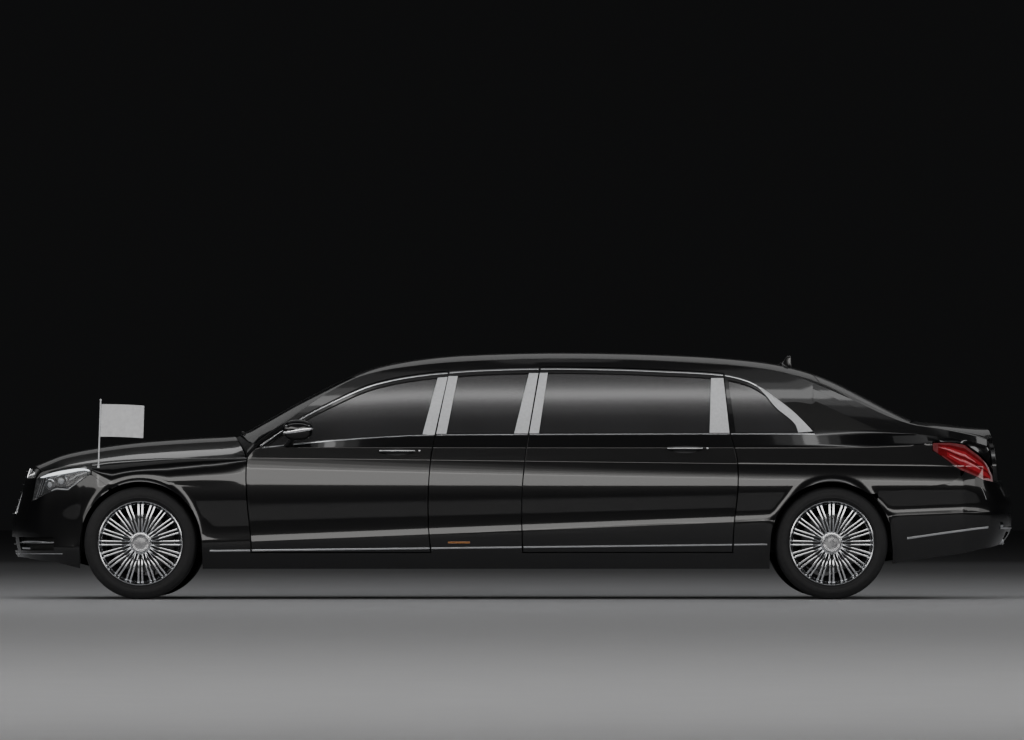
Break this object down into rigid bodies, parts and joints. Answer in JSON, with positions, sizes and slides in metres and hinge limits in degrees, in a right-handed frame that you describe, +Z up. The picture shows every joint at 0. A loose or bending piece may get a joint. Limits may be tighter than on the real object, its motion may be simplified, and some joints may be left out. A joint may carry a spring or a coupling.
{
  "type": "stretch limousine",
  "caption": "Long black saloon with a lengthened middle, side doors, tinted glass, multi-spoke wheels, upright grille and a flag standard on one fender.",
  "frame": {"origin": "on the ground at the middle of the body's length and width", "axes": "+X to the rear of the car, +Y to its right side, +Z up"},
  "size_m": [6.4947, 2.1174, 1.5951],
  "materials": {
    "black_paint": "glossy black lacquer",
    "floor_black": "matte underseal",
    "chrome": "polished",
    "clear_lens": "clear",
    "red_lens": "glossy red",
    "steel": "satin",
    "dark_glass": "tinted",
    "trim_black": "matte",
    "black_leather": "satin",
    "cast_metal": "cast",
    "chassis_metal": "matte black",
    "flag_cloth": "woven",
    "alloy": "bright silver",
    "tyre": "matte"
  },
  "bodies": {
    "body": {"floor_pan": "floor_black", "front_structure": "floor_black", "rear_structure": "floor_black", "front_housings": "floor_black", "rear_housings": "floor_black", "side_frame_left": "black_paint", "side_frame_right": "black_paint", "roof_panel": "black_paint", "fender_left": "black_paint", "fender_right": "black_paint", "front_bumper": "black_paint", "rear_bumper": "black_paint", "grille": "chrome", "headlamps": "clear_lens", "tail_lamps": "red_lens", "exhaust": "steel", "windscreen": "dark_glass", "rear_window": "dark_glass", "fixed_side_glass": "dark_glass", "dashboard": "trim_black", "front_seats": "black_leather", "rear_seats": "black_leather", "partition": "trim_black", "engine_block": "cast_metal", "front_subframe": "chassis_metal", "rear_subframe": "chassis_metal", "flag_standard": "chrome", "flag": "flag_cloth", "cowl": "trim_black"},
    "knuckle_left": {"knuckle_left": "chassis_metal"},
    "knuckle_right": {"knuckle_right": "chassis_metal"},
    "steering_wheel": {"steering_wheel": "trim_black"},
    "wheel_front_left": {"rim_front_left": "alloy", "tyre_front_left": "tyre"},
    "wheel_front_right": {"rim_front_right": "alloy", "tyre_front_right": "tyre"},
    "wheel_rear_left": {"rim_rear_left": "alloy", "tyre_rear_left": "tyre"},
    "wheel_rear_right": {"rim_rear_right": "alloy", "tyre_rear_right": "tyre"},
    "door_front_left": {"door_front_left": "black_paint", "glass_front_left": "dark_glass", "mirror_left": "black_paint"},
    "door_front_right": {"door_front_right": "black_paint", "glass_front_right": "dark_glass", "mirror_right": "black_paint"},
    "door_rear_left": {"door_rear_left": "black_paint", "glass_rear_left": "dark_glass"},
    "door_rear_right": {"door_rear_right": "black_paint", "glass_rear_right": "dark_glass"},
    "hood": {"hood": "black_paint"},
    "trunk_lid": {"trunk_lid": "black_paint"}
  },
  "joints": [
    {"name": "steer_left", "type": "hinge", "parent": "body", "child": "knuckle_left", "pos_m": [-2.375, -0.77, 0.361], "axis": [0, 0, 1], "range_deg": [-35, 35]},
    {"name": "steer_right", "type": "hinge", "parent": "body", "child": "knuckle_right", "pos_m": [-2.375, 0.77, 0.361], "axis": [0, 0, 1], "range_deg": [-35, 35]},
    {"name": "spin_front_left", "type": "hinge", "parent": "knuckle_left", "child": "wheel_front_left", "pos_m": [-2.375, -0.812, 0.361], "axis": [0, 1, 0], "continuous": true},
    {"name": "spin_front_right", "type": "hinge", "parent": "knuckle_right", "child": "wheel_front_right", "pos_m": [-2.375, 0.812, 0.361], "axis": [0, 1, 0], "continuous": true},
    {"name": "spin_rear_left", "type": "hinge", "parent": "body", "child": "wheel_rear_left", "pos_m": [2.043, -0.812, 0.361], "axis": [0, 1, 0], "continuous": true},
    {"name": "spin_rear_right", "type": "hinge", "parent": "body", "child": "wheel_rear_right", "pos_m": [2.043, 0.812, 0.361], "axis": [0, 1, 0], "continuous": true},
    {"name": "steering_wheel_turn", "type": "hinge", "parent": "body", "child": "steering_wheel", "pos_m": [-1.36, -0.385, 0.828], "axis": [0.9135, 0, 0.4067], "range_deg": [-490, 490]},
    {"name": "door_front_left_open", "type": "hinge", "parent": "body", "child": "door_front_left", "pos_m": [-1.696, -0.944, 0.65], "axis": [0, 0, -1], "range_deg": [0, 66]},
    {"name": "door_front_right_open", "type": "hinge", "parent": "body", "child": "door_front_right", "pos_m": [-1.696, 0.944, 0.65], "axis": [0, 0, 1], "range_deg": [0, 66]},
    {"name": "door_rear_left_open", "type": "hinge", "parent": "body", "child": "door_rear_left", "pos_m": [0.062, -0.9505, 0.65], "axis": [0, 0, -1], "range_deg": [0, 66]},
    {"name": "door_rear_right_open", "type": "hinge", "parent": "body", "child": "door_rear_right", "pos_m": [0.062, 0.9505, 0.65], "axis": [0, 0, 1], "range_deg": [0, 66]},
    {"name": "hood_open", "type": "hinge", "parent": "body", "child": "hood", "pos_m": [-1.745, 0, 1.062], "axis": [0, 1, 0], "range_deg": [0, 48]},
    {"name": "trunk_open", "type": "hinge", "parent": "body", "child": "trunk_lid", "pos_m": [2.556, 0, 1.168], "axis": [0, -1, 0], "range_deg": [0, 72]}
  ],
  "couplings": [
    {"joint": "steer_right", "follows": "steer_left", "ratio": 1},
    {"joint": "steering_wheel_turn", "follows": "steer_left", "ratio": 14}
  ]
}
